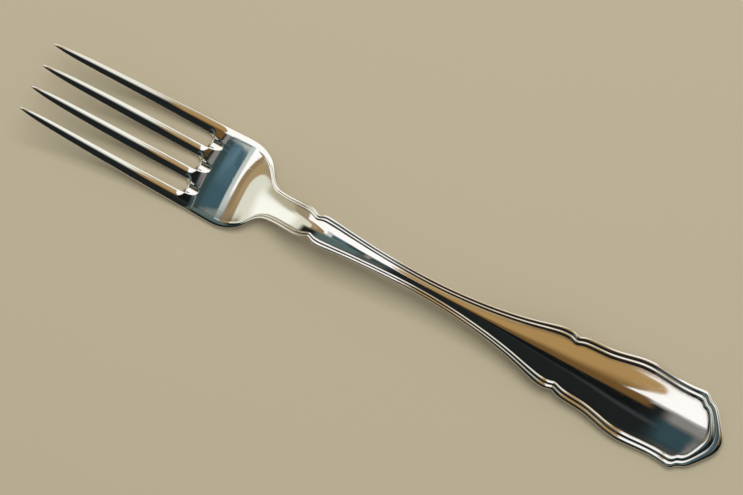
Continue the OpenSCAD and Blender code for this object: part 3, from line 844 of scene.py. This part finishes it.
# A row gives the place from the tip to the root, how far the middle line has gone over from
# the tip's place to the root's, the width and the thickness, all as shares.
INNER_TINE = [
    [-0.008, 0, 0, 0], [0.016, 0, 0.22, 0.6], [0.057, 0.1, 0.4, 0.9], [0.137, 0.3, 0.625, 1],
    [0.25, 0.55, 0.775, 1], [0.41, 0.85, 0.9, 1], [0.615, 1, 0.99, 1], [0.82, 1, 1.03, 1],
    [1, 1, 1, 1],
]
OUTER_TINE = [
    [-0.008, 0, 0, 0], [0.016, 0, 0.18, 0.6], [0.057, 0.05, 0.34, 0.9], [0.137, 0.15, 0.51, 1],
    [0.25, 0.3, 0.62, 1], [0.41, 0.5, 0.69, 1], [0.615, 0.72, 0.8, 1], [0.82, 0.92, 0.93, 1],
    [1, 1, 1, 1],
]

(root_half,), (root_panel,) = half_and_panel(TINE_ROOT)


def tine_rings(table, tip_x, inner_x, outer_x, outer):
    """Rings of a tine from its tip to its root: plan, front and back heights.

    The row before the tip mirrors the one behind it, so that the tip comes out round.
    """
    rows = np.array(table)
    tip = rows[1] * np.array([1, 1, -1, -1])
    rows = np.vstack([tip, rows, 2 * rows[-1] - rows[-2]])
    stretches = len(rows) - 3
    made = []
    for row in spline(rows, np.linspace(0, stretches, stretches * RINGS_PER_ROW + 1)):
        at = max(row[0], 0) * TINE_ROOT
        back, thick, crown, crown_half, rounded, _ = map(float, side_at(at))
        centre = blend(tip_x, (inner_x + outer_x) / 2, row[1])
        half_w, half_t = row[2] * (outer_x - inner_x) / 2, row[3] * thick / 2
        root = smooth_step(at, ROOT_START * TINE_ROOT, TINE_ROOT)
        x = centre + half_w * tine_spread
        inner_gap, outer_gap = half_w * (1 + tine_spread), half_w * (1 - tine_spread)
        mid = back + thick / 2
        front_reach, slot_reach = min(SLOT_ROUND, half_w) + TINY, min(BACK_ROUND, half_w) + TINY
        slot_back = blend(TIP_ROUND, SLOT_BACK, root) * half_t
        front = mid + half_t - arch(inner_gap, front_reach)
        under = mid - half_t + round_over(inner_gap, slot_reach, slot_back)
        if outer:
            border = root_half - root_panel
            reach = min(border, half_w * RIM_REACH) + TINY
            edge_back = blend(TIP_ROUND * half_t, BACK_EDGE_DROP, root)
            rim = blend(arch(outer_gap, reach), round_over(outer_gap, reach, RIM_HEIGHT), root)
            front = front - rim
            under = under + round_over(outer_gap, blend(reach, BACK_EDGE_ROUND, root), edge_back)
            mark = np.where(x <= root_panel, x / root_panel, 1 + (x - root_panel) / border)
        else:
            front = front - arch(outer_gap, front_reach)
            under = under + round_over(outer_gap, slot_reach, slot_back)
            mark = x / root_panel
        front = front - crown * (np.minimum(x, root_panel) / crown_half) ** 2
        under = under + root**3 * rounded * back_curve(mark)
        made.append((np.full(x.shape, at), x, front, under))
    return made


def tine_point(rings, hand):
    """The function that gives point n of a tine's ring, on the left with a hand of -1."""
    def point(n, row):
        at, x, front, under = rings[row]
        over = n <= TINE_STEPS
        k = n if over else 2 * TINE_STEPS + 1 - n
        return place(hand * x[k], at[k], (front if over else under)[k])
    return point


slot_edge = SLOT_WIDTH / 2
inner_rings = tine_rings(INNER_TINE, TIP_SPAN / 6, slot_edge, SLOT_PITCH - slot_edge, False)
outer_rings = tine_rings(OUTER_TINE, TIP_SPAN / 2, SLOT_PITCH + slot_edge, root_half, True)
tines = ((outer_rings, -1), (inner_rings, -1), (inner_rings, 1), (outer_rings, 1))
for number, (rings, hand) in enumerate(tines):
    tube(2 * TINE_STEPS + 2, len(rings), tine_point(rings, hand),
         lambda row, n=number: TINES + n)

# With the tines on it the blank is whole, and its smooth normals are kept through the cuts.
# These two distances are in metres.
MERGE_GAP, SLIVER = 1e-6, 1e-8
bmesh.ops.remove_doubles(blank, verts=blank.verts, dist=MERGE_GAP)
bmesh.ops.dissolve_degenerate(blank, edges=blank.edges, dist=SLIVER)
bmesh.ops.recalc_face_normals(blank, faces=blank.faces)
blank.normal_update()
forged_normal = blank.verts.layers.float_vector.new("forged_normal")
for v in blank.verts:
    v[forged_normal] = v.normal


def cut_piece(name, number, finish, *nodes):
    """One region of the blank as a piece of its own, closed with flat ends where it was cut."""
    bm = blank.copy()
    layer = bm.faces.layers.int["region"]
    bmesh.ops.delete(bm, geom=[f for f in bm.faces if f[layer] != number], context="FACES")
    open_edges = [e for e in bm.edges if e.is_boundary]
    for face in bmesh.ops.holes_fill(bm, edges=open_edges, sides=0)["faces"]:
        face.smooth = False
        face[layer] = 0
    bmesh.ops.recalc_face_normals(bm, faces=bm.faces)
    mesh = bpy.data.meshes.new(name)
    bm.to_mesh(mesh)
    bm.free()
    kept = np.zeros(len(mesh.vertices) * 3)
    mesh.attributes["forged_normal"].data.foreach_get("vector", kept)
    kept = kept.reshape(-1, 3)
    regions = np.zeros(len(mesh.polygons), int)
    mesh.attributes["region"].data.foreach_get("value", regions)
    normals = np.zeros((len(mesh.loops), 3))
    for face in mesh.polygons:
        for corner in face.loop_indices:
            forged = kept[mesh.loops[corner].vertex_index]
            normals[corner] = forged if regions[face.index] else face.normal
    mesh.normals_split_custom_set([tuple(n) for n in normals])
    mesh.attributes.remove(mesh.attributes["forged_normal"])
    mesh.attributes.remove(mesh.attributes["region"])
    mesh.materials.append(finish)
    piece = bpy.data.objects.new(name, mesh)
    bpy.context.scene.collection.objects.link(piece)
    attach(piece, "root")
    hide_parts(*nodes)


HEAD_SCRATCHES = ((4, 0.0011, 0.02), (-27, 0.0016, 0.012), (71, 0.0021, 0.011))
head_silver = silver_finish("head_silver", scratch_share=0.6, scratch_turns=HEAD_SCRATCHES,
                            haze_share=0.8)
cut_piece("outer_tine_left", TINES, head_silver, "tine_outer_left")
cut_piece("inner_tine_left", TINES + 1, head_silver, "tine_inner_left")
cut_piece("inner_tine_right", TINES + 2, head_silver, "tine_inner_right")
cut_piece("outer_tine_right", TINES + 3, head_silver, "tine_outer_right")

# Head
# The plate that the tines grow out of, flat from side to side, with rounded shoulders that
# run down to the neck. It is of the tines' metal and finish, and its back is worn a little
# flat where the fork rests on it.
cut_piece("head_plate", HEAD, head_silver, "head")

# Neck
# The arched bridge from the head to the first notch, thicker and narrower than the head.
# It is of the same metal, and the double thread begins to rise along its edges.
HANDLE_SCRATCHES = ((3, 0.0013, 0.03), (-12, 0.0019, 0.018))
handle_silver = silver_finish("handle_silver", scratch_share=0.6,
                              scratch_turns=HANDLE_SCRATCHES, haze_share=1.0)
cut_piece("arched_neck", NECK, handle_silver, "neck")

# Stem
# The slim part of the handle, from the neck's notch over the waist to the small ears. It is
# of the same metal, pressed with a crowned panel between the threads of its two edges.
cut_piece("threaded_stem", STEM, handle_silver, "stem")

# Handle's end
# The flared end, from the ears' notch to the point, where the threads of both edges meet.
# It is of the same metal, and its back too is worn a little flat where the fork rests.
cut_piece("flared_end", END, handle_silver, "handle_end")
blank.free()
